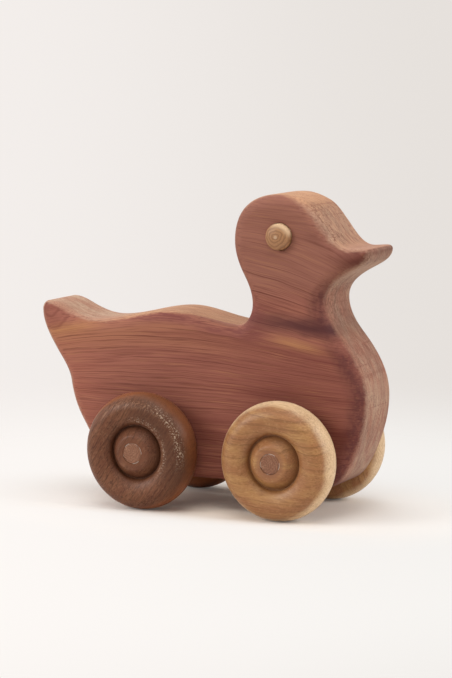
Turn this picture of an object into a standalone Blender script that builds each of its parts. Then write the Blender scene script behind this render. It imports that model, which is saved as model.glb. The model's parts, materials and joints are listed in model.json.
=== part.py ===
"""Wooden push-along duck: a sawn, rounded board that rolls on two dowel axles with turned wheels.

Metres, +Z up. The duck faces +X and its left side is +Y. The origin lies on the floor, under the middle
of the duck's length and thickness.
"""

import math
from collections import namedtuple

import bmesh
import bpy
from mathutils import Vector
from mathutils.geometry import interpolate_bezier

# Duck and the board that it is sawn from
BODY_LENGTH = 0.1751
BODY_HEIGHT = 0.1390
BOARD_THICKNESS = 0.0381
EDGE_ROUND = 0.00635

# Axles and the bores that they turn in. Midway between them lies at this share of the body's length.
AXLES_SHARE = 0.5677
AXLE_DIAMETER = 0.009525
AXLE_CHAMFER = 0.0004
AXLE_RISE = 0.0143
RUNNING_CLEARANCE = 0.0004

# Turned wheels
WHEEL_DIAMETER = 0.05715
WHEEL_WIDTH = 0.01905
WHEEL_SPACING = 0.0153
BODY_GAP = 0.0022
BOSS_WALL = 0.0026
BOSS_FLARE = 0.0050
BOSS_SHOULDER = 0.0016
BOSS_SHOULDER_START = math.radians(40)
BOSS_PROUD = 0.0007
GROOVE_WIDTH = 0.0004
GROOVE_DEPTH = 0.0046
END_GRAIN_PROUD = 0.0002

# Eye pegs, placed from the back of the head and from the crown
EYE_DIAMETER = 0.0127
EYE_PROUD = 0.0042
EYE_DOME = 0.0026
EYE_DEPTH = 0.0100
EYE_AHEAD = 0.0254
EYE_BELOW = 0.0198

# Film of glue between a piece and the hole that it is glued into
GLUE_GAP = 0.0003

# Sawn outline, clockwise as seen from the duck's right side. A knot's place is a share of the body's
# length, forward from the tail, and of its height, up from the belly. The heading is the way the saw
# travels there, in degrees up from forward.
Knot = namedtuple("Knot", "ahead up heading")
OUTLINE = {
    "tail_tip": Knot(0.0000, 0.5680, 90),
    "tail_top": Knot(0.0170, 0.5971, 0),
    "tail_fall": Knot(0.0822, 0.5691, -25),
    "back_dip": Knot(0.1736, 0.5396, 0),
    "back_crest": Knot(0.4049, 0.5842, 0),
    "neck_foot": Knot(0.6048, 0.5432, 0),
    "nape": Knot(0.6545, 0.6223, 90),
    "nape_turn": Knot(0.6305, 0.7165, 119),
    "head_back": Knot(0.6014, 0.8381, 90),
    "poll": Knot(0.6379, 0.9597, 42),
    "crown": Knot(0.7419, 1.0000, 0),
    "forehead": Knot(0.8134, 0.9748, -27),
    "brow": Knot(0.8680, 0.9052, -52),
    "beak_hollow": Knot(0.9475, 0.8216, 0),
    "beak_lip": Knot(0.9874, 0.8245, 0),
    "beak_tip": Knot(1.0000, 0.8108, -90),
    "jaw": Knot(0.9560, 0.7511, -152),
    "throat": Knot(0.8726, 0.6403, -90),
    "breast_turn": Knot(0.9183, 0.5165, -50),
    "breast": Knot(0.9926, 0.3058, -90),
    "keel": Knot(0.9440, 0.0791, -117),
    "belly_front": Knot(0.8704, 0.0000, 180),
    "belly_rear": Knot(0.2707, 0.0000, 180),
    "rump": Knot(0.1268, 0.1813, 121),
    "waist": Knot(0.0902, 0.3151, 98),
    "under_tail": Knot(0.0445, 0.4273, 122),
}

# Fineness of the facets
OUTLINE_TURN = math.radians(8)
OUTLINE_STEP = 0.006
STRAIGHT = math.radians(0.1)
ROUND_STEPS = 4
TURN_STEPS = 40
ARC_STEP = math.radians(18)
RIDGE_SHARE = 0.85
WELD_DISTANCE = 0.000001
SMOOTH_ANGLE = math.radians(30)

# Sizes that follow from those above
WHEEL_RADIUS = WHEEL_DIAMETER / 2
AXLE_RADIUS = AXLE_DIAMETER / 2
EYE_RADIUS = EYE_DIAMETER / 2
HALF_BOARD = BOARD_THICKNESS / 2
BELLY_HEIGHT = WHEEL_RADIUS - AXLE_RISE
WHEEL_MIDDLE = HALF_BOARD + BODY_GAP + WHEEL_WIDTH / 2
BOSS_END = WHEEL_WIDTH / 2 + BOSS_PROUD
AXLE_END = WHEEL_MIDDLE + BOSS_END + END_GRAIN_PROUD
HALF_WHEELBASE = (WHEEL_DIAMETER + WHEEL_SPACING) / 2
AXLES_MIDDLE = AXLES_SHARE * BODY_LENGTH

MATERIALS = {
    "cedar": ((0.270, 0.094, 0.060), 0.50),
    "maple": ((0.480, 0.250, 0.105), 0.42),
    "walnut": ((0.150, 0.066, 0.036), 0.45),
    "dowel": ((0.300, 0.155, 0.100), 0.55),
    "birch": ((0.560, 0.330, 0.150), 0.45),
}


def clear_scene():
    for old in list(bpy.data.objects):
        bpy.data.objects.remove(old, do_unlink=True)


def wood(name):
    """The plain wood finish of that name, made once."""
    if name in bpy.data.materials:
        return bpy.data.materials[name]
    colour, roughness = MATERIALS[name]
    material = bpy.data.materials.new(name)
    material.use_nodes = True
    shader = material.node_tree.nodes["Principled BSDF"]
    shader.inputs["Base Color"].default_value = (*colour, 1.0)
    shader.inputs["Roughness"].default_value = roughness
    shader.inputs["Metallic"].default_value = 0.0
    return material


def add_object(name, shape, finish=None, parent=None, location=(0.0, 0.0, 0.0)):
    """Turn a bmesh into a named object, smooth where its faces nearly line up."""
    bmesh.ops.recalc_face_normals(shape, faces=shape.faces)
    mesh = bpy.data.meshes.new(name)
    shape.to_mesh(mesh)
    shape.free()
    mesh.shade_smooth()
    mesh.set_sharp_from_angle(angle=SMOOTH_ANGLE)
    if finish:
        mesh.materials.append(wood(finish))
    made = bpy.data.objects.new(name, mesh)
    made.location = location
    made.parent = parent
    bpy.context.scene.collection.objects.link(made)
    return made


def direction(angle):
    return Vector((math.cos(angle), math.sin(angle)))


def turn_between(first, second):
    """The angle from one direction to another, from -pi to pi."""
    return math.atan2(first.cross(second), first.dot(second))


def knot_place(knot):
    """A knot's (x, z) in metres, forward from the tail and up from the belly."""
    return Vector((knot.ahead * BODY_LENGTH, knot.up * BODY_HEIGHT))


def stretch_points(start, end):
    """Points from one knot up to the next, on a cubic that bends as an arc would."""
    first = knot_place(start)
    last = knot_place(end)
    leave = direction(math.radians(start.heading))
    arrive = direction(math.radians(end.heading))
    chord = last - first
    turning = abs(turn_between(leave, chord)) + abs(turn_between(chord, arrive))
    pieces = chord.length / OUTLINE_STEP if turning > STRAIGHT else 1
    steps = math.ceil(max(1, pieces, turning / OUTLINE_TURN))
    reach = chord.length / (3 * math.cos(turn_between(leave, arrive) / 4) ** 2)
    return interpolate_bezier(first, first + leave * reach, last - arrive * reach, last, steps + 1)[:-1]


def outline_points():
    """The sawn edge as (x, z) points, clockwise, in the duck's own frame."""
    knots = list(OUTLINE.values())
    points = []
    for start, end in zip(knots, knots[1:] + knots[:1]):
        points.extend(Vector((point.x, point.y)) for point in stretch_points(start, end))
    return points


def inward_normals(points):
    normals = []
    for index, point in enumerate(points):
        arriving = (point - points[index - 1]).normalized()
        leaving = (points[(index + 1) % len(points)] - point).normalized()
        along = arriving + leaving
        normals.append(Vector((along.y, -along.x)).normalized())
    return normals


def inscribed_radius(point, normal, points):
    """Radius of the largest circle that touches the edge at this point and stays inside it."""
    radii = []
    for other in points:
        apart = other - point
        ahead = apart.dot(normal)
        if ahead > WELD_DISTANCE:
            radii.append(apart.length_squared / (2 * ahead))
    return min(radii)


def round_over_spokes(points):
    """For each edge point, its (x, z, half thickness) from the edge in to where the rounding ends.

    A router bit with a bearing cuts this quarter round. Where the wood is narrower than the bit, as at
    the beak, the cuts from both sides meet in a ridge, so the spoke stops just short of it.
    """
    spokes = []
    for point, normal in zip(points, inward_normals(points)):
        inset = min(EDGE_ROUND, RIDGE_SHARE * inscribed_radius(point, normal, points))
        full_turn = math.acos(1 - inset / EDGE_ROUND)
        spoke = []
        for step in range(ROUND_STEPS + 1):
            angle = full_turn * step / ROUND_STEPS
            place = point + normal * EDGE_ROUND * (1 - math.cos(angle))
            half = HALF_BOARD - EDGE_ROUND * (1 - math.sin(angle))
            spoke.append((place.x, place.y, half))
        spokes.append(spoke)
    return spokes


def board_shape(points):
    """The outline at full thickness, with both of its edges rounded over."""
    shape = bmesh.new()
    rows = []
    for spoke in round_over_spokes(points):
        right = [shape.verts.new((x, -half, z)) for x, z, half in reversed(spoke)]
        left = [shape.verts.new((x, half, z)) for x, z, half in spoke]
        rows.append(right + left)
    for row, following in zip(rows, rows[1:] + rows[:1]):
        for low, high in zip(range(len(row)), range(1, len(row))):
            shape.faces.new((row[low], row[high], following[high], following[low]))
    sides = [shape.faces.new([row[end] for row in rows]) for end in (0, -1)]
    shape.normal_update()
    bmesh.ops.triangulate(shape, faces=sides)
    return shape


def turned_shape(profile, closed):
    """Spin a profile of (radius, distance along Y) points about the Y axis."""
    shape = bmesh.new()
    corners = [shape.verts.new((radius, along, 0.0)) for radius, along in profile]
    pairs = list(zip(corners, corners[1:]))
    if closed:
        pairs.append((corners[-1], corners[0]))
    edges = [shape.edges.new(pair) for pair in pairs]
    bmesh.ops.spin(shape, geom=corners + edges, cent=(0, 0, 0), axis=(0, 1, 0),
                   angle=2 * math.pi, steps=TURN_STEPS, use_merge=True)
    bmesh.ops.remove_doubles(shape, verts=shape.verts, dist=WELD_DISTANCE)
    return shape


def arc_points(centre, radii, start, end):
    """Points on an elliptical arc, both ends included. Angles run from the radius axis towards Y."""
    steps = max(1, round(abs(end - start) / ARC_STEP))
    angles = [start + (end - start) * step / steps for step in range(steps + 1)]
    return [(centre[0] + radii[0] * math.cos(a), centre[1] + radii[1] * math.sin(a)) for a in angles]


def wheel_profile():
    """Section of a wheel, outer face towards +Y: flat back, full-round rim, groove and flared boss."""
    bore = AXLE_RADIUS + GLUE_GAP
    boss_flat = bore + BOSS_WALL
    boss_foot = boss_flat + BOSS_FLARE
    groove_edge = boss_foot + GROOVE_WIDTH
    rim_crest = (groove_edge + WHEEL_RADIUS) / 2
    half_width = WHEEL_WIDTH / 2
    groove_floor = half_width - GROOVE_DEPTH
    rim_radii = (WHEEL_RADIUS - rim_crest, half_width)
    slope_radii = (rim_crest - groove_edge, GROOVE_DEPTH)
    shoulder = (boss_flat, BOSS_END - BOSS_SHOULDER)
    profile = [(bore, -half_width)]
    profile += arc_points((rim_crest, 0.0), rim_radii, -math.pi / 2, math.pi / 2)
    profile += arc_points((rim_crest, groove_floor), slope_radii, math.pi / 2, math.pi)[1:]
    profile += [(boss_foot, groove_floor)]
    profile += arc_points(shoulder, (BOSS_SHOULDER, BOSS_SHOULDER), BOSS_SHOULDER_START, math.pi / 2)
    profile += [(bore, BOSS_END)]
    return profile


def axle_profile():
    """Section of a dowel axle with lightly chamfered ends."""
    waist = AXLE_END - AXLE_CHAMFER
    flat = AXLE_RADIUS - AXLE_CHAMFER
    return [(0.0, -AXLE_END), (flat, -AXLE_END), (AXLE_RADIUS, -waist),
            (AXLE_RADIUS, waist), (flat, AXLE_END), (0.0, AXLE_END)]


def eye_profile():
    """Section of an eye peg, its domed end towards +Y and the face of the board at zero."""
    dome_foot = EYE_PROUD - EYE_DOME
    dome = arc_points((0.0, dome_foot), (EYE_RADIUS, EYE_DOME), 0.0, math.pi / 2)
    return [(0.0, -EYE_DEPTH), (EYE_RADIUS, -EYE_DEPTH), *dome]


def drill(target, name, radius, low, high, location, parent):
    """Cut a round hole along Y with a hidden cutter that reaches from low to high."""
    profile = [(0.0, low), (radius, low), (radius, high), (0.0, high)]
    cutter = add_object(name, turned_shape(profile, closed=False), None, parent, location)
    cutter.hide_render = True
    cutter.display_type = "WIRE"
    cut = target.modifiers.new(name, "BOOLEAN")
    cut.operation = "DIFFERENCE"
    cut.object = cutter


def add_empty(name, location):
    empty = bpy.data.objects.new(name, None)
    empty.location = location
    bpy.context.scene.collection.objects.link(empty)
    return empty


def add_duck(frame, points):
    """The body with its axle bores and eye holes, and the two eye pegs."""
    body = add_object("duck_body", board_shape(points), "cedar", frame)
    bore = AXLE_RADIUS + RUNNING_CLEARANCE
    for end, ahead in (("front", HALF_WHEELBASE), ("rear", -HALF_WHEELBASE)):
        place = (AXLES_MIDDLE + ahead, 0.0, AXLE_RISE)
        drill(body, end + "_bore", bore, -BOARD_THICKNESS, BOARD_THICKNESS, place, frame)
    eye_x = knot_place(OUTLINE["head_back"]).x + EYE_AHEAD
    eye_z = knot_place(OUTLINE["crown"]).y - EYE_BELOW
    hole = EYE_RADIUS + GLUE_GAP
    floor = HALF_BOARD - EYE_DEPTH - GLUE_GAP
    for side, sign in (("right", -1), ("left", 1)):
        low, high = sorted((sign * floor, sign * BOARD_THICKNESS))
        drill(body, side + "_eye_hole", hole, low, high, (eye_x, 0.0, eye_z), frame)
        place = (eye_x, sign * HALF_BOARD, eye_z)
        peg = add_object(side + "_eye_peg", turned_shape(eye_profile(), closed=False), "birch", frame, place)
        peg.rotation_euler.z = math.pi if sign < 0 else 0.0


def add_wheelset(end, x, finish):
    """An axle and the two wheels that are glued to it, on an empty at the middle of the axle."""
    spindle = add_empty(end + "_wheelset", (x, 0.0, WHEEL_RADIUS))
    add_object(end + "_axle", turned_shape(axle_profile(), closed=False), "dowel", spindle)
    for side, sign in (("right", -1), ("left", 1)):
        place = (0.0, sign * WHEEL_MIDDLE, 0.0)
        name = end + "_" + side + "_wheel"
        wheel = add_object(name, turned_shape(wheel_profile(), closed=True), finish, spindle, place)
        wheel.rotation_euler.z = math.pi if sign < 0 else 0.0


def main():
    clear_scene()
    duck_frame = add_empty("duck", (-BODY_LENGTH / 2, 0.0, BELLY_HEIGHT))
    add_duck(duck_frame, outline_points())
    axles_x = AXLES_MIDDLE - BODY_LENGTH / 2
    add_wheelset("front", axles_x + HALF_WHEELBASE, "maple")
    add_wheelset("rear", axles_x - HALF_WHEELBASE, "walnut")
    bpy.context.view_layer.update()


main()
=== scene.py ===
# %% [markdown]
# # A wooden push-along duck
# The toy is a duck sawn from one thick board of red cedar. It rolls on two dowel axles, with a pair of
# maple wheels in front and a pair of walnut wheels behind, and its eyes are two pale pegs.
# The packed CAD model is the frame of everything here: it gives the sizes, the places and what moves.
# This script dresses that frame with finer meshes and with wood that is grown in three dimensions.

# %% Load the packed frame
import json
import math
from collections import namedtuple

import bmesh
import bpy
from mathutils import Matrix, Vector
from mathutils.geometry import interpolate_bezier


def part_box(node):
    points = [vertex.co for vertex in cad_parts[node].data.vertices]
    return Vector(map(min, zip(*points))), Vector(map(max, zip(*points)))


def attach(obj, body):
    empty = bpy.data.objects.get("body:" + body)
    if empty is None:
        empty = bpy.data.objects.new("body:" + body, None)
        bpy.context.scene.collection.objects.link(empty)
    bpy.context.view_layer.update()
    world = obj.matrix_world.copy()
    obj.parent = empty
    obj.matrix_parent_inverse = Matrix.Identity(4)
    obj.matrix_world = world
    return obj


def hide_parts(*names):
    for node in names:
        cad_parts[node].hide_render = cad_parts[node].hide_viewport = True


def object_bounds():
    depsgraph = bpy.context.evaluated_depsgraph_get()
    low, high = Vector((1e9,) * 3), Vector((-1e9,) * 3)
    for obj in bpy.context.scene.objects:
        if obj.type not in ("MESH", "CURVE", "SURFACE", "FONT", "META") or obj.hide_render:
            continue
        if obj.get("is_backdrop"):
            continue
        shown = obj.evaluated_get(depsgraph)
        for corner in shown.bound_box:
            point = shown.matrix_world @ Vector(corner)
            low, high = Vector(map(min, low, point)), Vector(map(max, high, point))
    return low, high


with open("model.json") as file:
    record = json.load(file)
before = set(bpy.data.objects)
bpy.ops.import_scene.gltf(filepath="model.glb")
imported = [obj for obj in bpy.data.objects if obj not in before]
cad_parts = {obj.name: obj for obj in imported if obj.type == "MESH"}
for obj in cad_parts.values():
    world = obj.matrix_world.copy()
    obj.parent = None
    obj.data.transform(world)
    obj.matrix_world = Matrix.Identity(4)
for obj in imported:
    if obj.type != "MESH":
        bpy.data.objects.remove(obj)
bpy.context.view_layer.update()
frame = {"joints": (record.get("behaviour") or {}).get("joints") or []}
SCENE = bpy.context.scene
MM = 0.001

# %% [markdown]
# ## The camera
# The four wheels are circles of one size, so their outlines in the photograph fix the view: where the
# camera stood, how far away it was, and how long its lens is. The picture is 452 pixels wide and 678 high.
# A long lens from more than a metre keeps the far wheels nearly as large as the near ones.

# %% Place the camera
PICTURE_HEIGHT = 678
FOCAL_PIXELS = 2447.5
VIEW_AZIMUTH = math.radians(25.42)
VIEW_ELEVATION = math.radians(7.12)
VIEW_ROLL = math.radians(-0.13)
VIEW_DISTANCE = 1.1918
VIEW_TARGET = Vector((0.0062, 0.0, 0.0809))


def add_camera():
    data = bpy.data.cameras.new("camera")
    data.lens = data.sensor_width * FOCAL_PIXELS / PICTURE_HEIGHT
    data.dof.use_dof = False
    towards_camera = Vector((math.sin(VIEW_AZIMUTH) * math.cos(VIEW_ELEVATION),
                             -math.cos(VIEW_AZIMUTH) * math.cos(VIEW_ELEVATION),
                             math.sin(VIEW_ELEVATION)))
    facing = (-towards_camera).to_track_quat("-Z", "Y").to_matrix().to_4x4()
    camera = bpy.data.objects.new("camera", data)
    camera.matrix_world = (Matrix.Translation(VIEW_TARGET + towards_camera * VIEW_DISTANCE)
                           @ facing @ Matrix.Rotation(VIEW_ROLL, 4, "Z"))
    SCENE.collection.objects.link(camera)
    SCENE.camera = camera
    return camera


camera = add_camera()
SCENE.view_settings.view_transform = "Standard"
print("lens in mm:", round(camera.data.lens, 1))

# %% [markdown]
# ## Sizes from the frame
# Each node's box gives the main sizes of the piece that replaces it. Typing these in again would let the
# script drift from the CAD. Only small sizes that no box shows, such as a round-over, are written out.

# %% Read the sizes
BODY_LOW, BODY_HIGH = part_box("duck_body")
BODY_SIZE = BODY_HIGH - BODY_LOW
HALF_BOARD = BODY_SIZE.y / 2
WHEEL_LOW, WHEEL_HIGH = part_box("front_left_wheel")
WHEEL_RADIUS = (WHEEL_HIGH.x - WHEEL_LOW.x) / 2
AXLE_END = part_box("front_axle")[1].y
EYE_LOW, EYE_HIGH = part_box("left_eye_peg")
EYE_RADIUS = (EYE_HIGH.x - EYE_LOW.x) / 2
AXLE_PLACES = {joint["child"]: Vector(joint["pos_m"]) for joint in frame["joints"]}
# Stock sizes: a quarter-inch router bit and a three-eighths dowel.
EDGE_ROUND = 6.35 * MM
AXLE_RADIUS = 4.7625 * MM
print("body in mm:", [round(size / MM, 1) for size in BODY_SIZE])
print("wheel radius in mm:", round(WHEEL_RADIUS / MM, 2))

# %% [markdown]
# ## From points to named objects
# Every piece ends the same way: its bmesh becomes an object, takes a finish, rides on the CAD body that
# carries it, and hides the CAD node that it stands for.
# Each piece could do that for itself, but with two helpers none of them can miss a step.

# %% Helpers that finish a piece
SMOOTH_ANGLE = math.radians(40)


def mesh_object(name, shape):
    """Turn a bmesh into a smooth object that keeps its crisp edges."""
    bmesh.ops.recalc_face_normals(shape, faces=shape.faces)
    mesh = bpy.data.meshes.new(name)
    shape.to_mesh(mesh)
    shape.free()
    mesh.shade_smooth()
    mesh.set_sharp_from_angle(angle=SMOOTH_ANGLE)
    made = bpy.data.objects.new(name, mesh)
    SCENE.collection.objects.link(made)
    return made


def dress(piece, finish, body, node):
    """Give a piece its finish and the body it rides on, and hide the node it stands for."""
    piece.data.materials.append(finish)
    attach(piece, body)
    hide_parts(node)
    print(piece.name, "stands for", node, "with", len(piece.data.polygons), "faces")


print("edges stay crisp where faces turn more than", round(math.degrees(SMOOTH_ANGLE)), "degrees")

# %% [markdown]
# ## Short calls for shader nodes
# The wood is worked out from each point's own place in the board, so its grain runs through the piece: it
# shows long lines on a face, arcs on an end and streaks on an edge without any picture being wrapped round.
# That takes many small nodes, so a few helpers keep the recipes readable. Most return an output socket.

# %% Helpers that add nodes


class Recipe:
    """Short calls that add nodes to a material or a world.

    A value may be a number or another node's output.
    """

    def __init__(self, owner):
        owner.use_nodes = True
        self.owner = owner
        self.tree = owner.node_tree

    def fill(self, socket, value):
        if isinstance(value, bpy.types.NodeSocket):
            self.tree.links.new(value, socket)
        else:
            socket.default_value = value

    def node(self, kind, inputs, **options):
        made = self.tree.nodes.new("ShaderNode" + kind)
        for option, value in options.items():
            setattr(made, option, value)
        for name, value in inputs.items():
            self.fill(made.inputs[name], value)
        return made

    def calc(self, operation, *values):
        inputs = dict(enumerate(values))
        return self.node("Math", inputs, operation=operation).outputs[0]

    def total(self, *values):
        result = values[0]
        for value in values[1:]:
            result = self.calc("ADD", result, value)
        return result

    def product(self, *values):
        result = values[0]
        for value in values[1:]:
            result = self.calc("MULTIPLY", result, value)
        return result

    def ramp(self, value, low, high, bottom=0.0, top=1.0):
        """A smooth climb from bottom to top as value goes from low to high."""
        inputs = {"Value": value, "From Min": low, "From Max": high, "To Min": bottom, "To Max": top}
        return self.node("MapRange", inputs, interpolation_type="SMOOTHSTEP").outputs[0]

    def peak(self, value, centre, width):
        """One at the centre, falling smoothly to zero at that distance on either side."""
        distance = self.calc("ABSOLUTE", self.calc("SUBTRACT", value, centre))
        return self.ramp(distance, 0.0, width, 1.0, 0.0)

    def split(self, vector):
        outputs = self.node("SeparateXYZ", {0: vector}).outputs
        return outputs[0], outputs[1], outputs[2]

    def point(self, x, y, z):
        return self.node("CombineXYZ", {0: x, 1: y, 2: z}).outputs[0]

    def length(self, vector):
        return self.node("VectorMath", {0: vector}, operation="LENGTH").outputs[1]

    def blend(self, share, first, second):
        """From the first colour to the second, as the share goes from zero to one."""
        inputs = {0: share, 6: first, 7: second}
        return self.node("Mix", inputs, data_type="RGBA").outputs[2]


def rgb(red, green, blue):
    """A colour from linear parts, with full opacity."""
    return (red, green, blue, 1.0)


print("a recipe can:", ", ".join(name for name in vars(Recipe) if not name.startswith("_")))

# %% [markdown]
# ## Places, noise and an oiled surface
# The fibres of oiled wood show in its colour, in its sheen and to the touch. Separate pictures for these
# three could slip apart, so the same noise feeds them all. Noise here is measured in millimetres on the
# piece itself, because a fibre's size doesn't depend on how large the piece is or how it is turned.

# %% Helpers for a surface
BUMP_DEPTH = 0.2 * MM


class SurfaceRecipe(Recipe):
    """A recipe for a new material: places on the piece, noise, and the finished shader."""

    def __init__(self, name):
        super().__init__(bpy.data.materials.new(name))

    def place_mm(self):
        """The point's own place in its piece, in millimetres."""
        own = self.node("TexCoord", {}).outputs["Object"]
        return self.node("VectorMath", {0: own, "Scale": 1 / MM}, operation="SCALE").outputs[0]

    def turned(self, vector, axis, angle):
        """The vector turned about the X, Y or Z axis, by an angle in radians."""
        inputs = {"Vector": vector, "Angle": angle}
        return self.node("VectorRotate", inputs, rotation_type=axis + "_AXIS").outputs[0]

    def facing(self):
        """The way the surface faces, as x, y and z of the piece itself."""
        normal = self.node("NewGeometry", {}).outputs["Normal"]
        turned = self.node("VectorTransform", {0: normal}, vector_type="NORMAL",
                           convert_from="WORLD", convert_to="OBJECT")
        return self.split(turned.outputs[0])

    def noise(self, vector, lump, detail=2.0, roughness=0.5):
        """Noise from 0 to 1 whose lumps are about as long as lump says, in mm along x, y and z."""
        scaled = self.node("VectorMath", {0: vector, 1: tuple(1 / size for size in lump)},
                           operation="MULTIPLY").outputs[0]
        inputs = {"Vector": scaled, "Scale": 1.0, "Detail": detail, "Roughness": roughness}
        return self.node("TexNoise", inputs).outputs[0]

    def wander(self, vector, lump, reach):
        """Noise that strays to either side of zero, by about a quarter of reach."""
        return self.product(self.calc("SUBTRACT", self.noise(vector, lump), 0.5), reach)

    def chance(self, number):
        """A random value from 0 to 1 that belongs to a whole number."""
        return self.node("TexWhiteNoise", {"W": number}, noise_dimensions="1D").outputs[0]

    def finish(self, colour, roughness, gloss, heights):
        """Join colour, roughness and layers of bump, each a strength and a height, to the shader."""
        shader = self.tree.nodes["Principled BSDF"]
        shader.inputs["Specular IOR Level"].default_value = gloss
        self.fill(shader.inputs["Base Color"], colour)
        self.fill(shader.inputs["Roughness"], roughness)
        normal = None
        for strength, height in heights:
            inputs = {"Strength": strength, "Distance": BUMP_DEPTH, "Height": height}
            if normal:
                inputs["Normal"] = normal
            normal = self.node("Bump", inputs).outputs[0]
        self.fill(shader.inputs["Normal"], normal)
        return self.owner


print("bump is", BUMP_DEPTH / MM, "mm deep at full strength")

# %% [markdown]
# ## Red cedar
# Aromatic red cedar is pinkish brown with fine dark growth rings, purple bands and streaks of golden
# sapwood. On this board the rings run along the duck, arch over its back and drop steeply towards the
# breast and through the neck. A flat stripe texture can't turn the corner on to the sawn edges, so the
# height of each ring is worked out for every point of the board. Rings and golden streaks follow it.
# In these recipes x, y and z are millimetres ahead, to the left and up. Shares and noise go from 0 to 1.

# %% Follow the growth rings
RING_SPACING = 1.9
RING_LEAN = 1.5
ARCH_MIDDLE = -15.0
ARCH_STRENGTH = 0.0022


def cedar_bow(wood, x, z):
    """How far a ring has dropped at this point from its crest over the back, in mm."""
    from_middle = wood.calc("SUBTRACT", x, ARCH_MIDDLE)
    strength = wood.product(wood.ramp(z, 40.0, 105.0), wood.ramp(z, 150.0, 112.0, 0.15, 1.0))
    return wood.product(from_middle, from_middle, strength, ARCH_STRENGTH)


def cedar_height(wood, vector, bow):
    """How far out in the tree a point of the board lay, in mm as seen on the duck's right side."""
    _, y, z = wood.split(vector)
    inwards = wood.calc("MAXIMUM", wood.total(y, (HALF_BOARD - EDGE_ROUND) / MM), 0.0)
    slow = wood.wander(vector, (60, 30, 25), 3.5)
    fine = wood.wander(vector, (12, 4, 5), 0.8)
    return wood.total(z, bow, wood.product(inwards, RING_LEAN), slow, fine)


def cedar_rings(wood, along, height):
    """Dark late wood: thin lines that end sharply on their outer side.

    On the head few are strong, and they fade towards the rump and its edges.
    """
    x, _, z = wood.split(wood.place_mm())
    _, aside, _ = wood.facing()
    bunched = wood.total(height, wood.wander(along, (120, 60, 7), 5.0))
    ring = wood.calc("DIVIDE", bunched, RING_SPACING)
    part = wood.calc("FRACT", ring)
    luck = wood.chance(wood.calc("FLOOR", ring))
    weakest = wood.ramp(z, 112.0, 92.0, 0.0, 0.3)
    strongest = wood.ramp(z, 135.0, 112.0, 0.3, 1.0)
    strength = wood.ramp(luck, 0.35, 1.0, weakest, strongest)
    broken = wood.ramp(wood.noise(along, (45, 5, 2.5)), 0.3, 0.6, 0.4, 1.0)
    line = wood.product(wood.ramp(part, 0.70, 0.92), wood.ramp(part, 1.0, 0.93))
    on_face = wood.ramp(wood.calc("ABSOLUTE", aside), 0.6, 0.98)
    rear = wood.product(wood.ramp(x, -75.0, -20.0, 0.4, 1.0),
                        wood.calc("MAXIMUM", on_face, wood.ramp(x, -50.0, -25.0)))
    return wood.product(line, strength, broken, rear)


print("growth rings lie about", RING_SPACING, "mm apart")

# %% [markdown]
# ## The board's sides
# A planed side shows where each year's growth ended as a dark line. This board is darker to the front and
# redder at the rump, with golden streaks between. One ramp of colour over the rings would look printed, so
# the colours are laid on in turn, each where it belongs and as strongly as a share from 0 to 1 says.

# %% Colour the board's sides
CEDAR_EARLY = rgb(0.312, 0.117, 0.083)
CEDAR_DEEP = rgb(0.185, 0.053, 0.040)
CEDAR_LATE = rgb(0.108, 0.028, 0.020)
CEDAR_ROSE = rgb(0.430, 0.152, 0.098)
CEDAR_HEAD = rgb(0.225, 0.148, 0.105)
CEDAR_GOLD = rgb(0.425, 0.198, 0.088)
GOLD_HEIGHT = 90.0


def cedar_long_grain(wood, vector, along, height, fibre):
    """Heartwood, darker to the front and redder at the rump, with rings, dark dashes and fibres."""
    x, _, z = wood.split(vector)
    late = cedar_rings(wood, along, height)
    dash = wood.noise(along, (30, 1.5, 0.45), 2.0, 0.6)
    cloud = wood.noise(along, (90, 40, 7), 2.0)
    front = wood.product(wood.ramp(x, -55.0, 70.0), wood.ramp(z, 92.0, 74.0), 0.6)
    deep = wood.total(wood.ramp(cloud, 0.35, 0.7, 0.0, 0.45), front)
    colour = wood.blend(deep, CEDAR_EARLY, CEDAR_DEEP)
    colour = wood.blend(wood.ramp(z, 96.0, 115.0, 0.0, 0.2), colour, CEDAR_HEAD)
    rear = wood.product(wood.ramp(x, -40.0, -78.0), wood.ramp(z, 96.0, 84.0))
    colour = wood.blend(wood.product(rear, wood.ramp(cloud, 0.25, 0.65, 0.1, 0.42)), colour, CEDAR_ROSE)
    warm = wood.product(wood.peak(height, 84.0, 11.0), wood.ramp(x, 40.0, 0.0))
    colour = wood.blend(wood.product(warm, wood.ramp(cloud, 0.6, 0.4, 0.1, 0.28)), colour, CEDAR_GOLD)
    colour = wood.blend(late, colour, CEDAR_LATE)
    dashes = wood.product(wood.ramp(dash, 0.5, 0.68, 0.0, 0.5), wood.ramp(z, 125.0, 95.0, 0.5, 1.0))
    colour = wood.blend(dashes, colour, CEDAR_LATE)
    colour = wood.blend(wood.ramp(fibre, 0.48, 0.28, 0.0, 0.35), colour, CEDAR_GOLD)
    colour = wood.blend(wood.ramp(fibre, 0.55, 0.75, 0.0, 0.5), colour, CEDAR_LATE)
    golden = wood.total(wood.product(wood.peak(height, GOLD_HEIGHT, 5.0), wood.peak(x, 52.0, 22.0)),
                        wood.product(wood.peak(height, GOLD_HEIGHT, 6.0), wood.ramp(x, -45.0, -68.0)))
    golden = wood.product(golden, wood.ramp(dash, 0.62, 0.42, 0.3, 0.8))
    return wood.blend(golden, colour, CEDAR_GOLD), late


print("golden streaks follow the ring at a height of", GOLD_HEIGHT, "mm")

# %% [markdown]
# ## The board's own marks
# This board has a purple band at the neck, a stain along the beak and a small knot at the tail. A
# ready-made wood texture would show some other board's marks, so each of these gets its own place and
# reach, and noise takes the evenness out of it. The knot is two arcs at fixed distances from its heart.

# %% Add the board's own marks
CEDAR_PURPLE = rgb(0.065, 0.019, 0.021)
NECK_BAND = 94.5
BEAK_STAIN = (82.0, 123.3)
TAIL_KNOT = (-81.2, 93.8)
KNOT_INNER = 3.7
KNOT_OUTER = 9.8


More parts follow.
